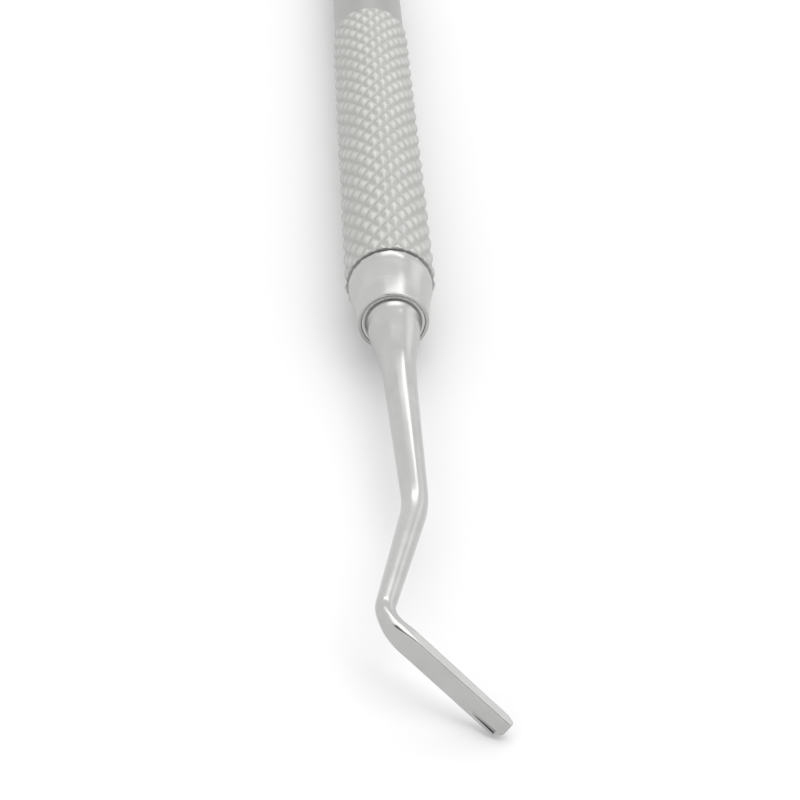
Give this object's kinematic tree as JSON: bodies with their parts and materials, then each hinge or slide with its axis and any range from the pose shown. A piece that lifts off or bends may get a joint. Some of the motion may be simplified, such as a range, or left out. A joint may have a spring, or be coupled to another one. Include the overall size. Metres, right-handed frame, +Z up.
{
  "type": "dental elevator",
  "caption": "Slim steel dental elevator: round knurled handle with a tapered, contra-angled shank and a narrow flat blade at each end, for easing a tooth or root loose.",
  "frame": {"origin": "under the middle of the whole instrument, on the surface that it lies on", "axes": "+Z up, the handle's axis along Y with the front working end towards -Y, +X towards the side that both blades point to"},
  "size_m": [0.0088, 0.1772, 0.007],
  "materials": {
    "handle_steel": "fine turned satin stainless steel",
    "knurled_steel": "satin stainless steel with a rolled diamond knurl, worn bright on the crests",
    "polished_steel": "polished stainless steel with fine turning lines",
    "working_steel": "satin polished stainless steel, ground flat on the blade",
    "braze_metal": "dull darkened braze metal"
  },
  "bodies": {
    "root": {"handle_core": "handle_steel", "front_grip_sleeve": "knurled_steel", "rear_grip_sleeve": "knurled_steel", "front_collar": "polished_steel", "rear_collar": "polished_steel", "front_braze_ring": "braze_metal", "rear_braze_ring": "braze_metal", "front_working_end": "working_steel", "rear_working_end": "working_steel"}
  },
  "joints": []
}
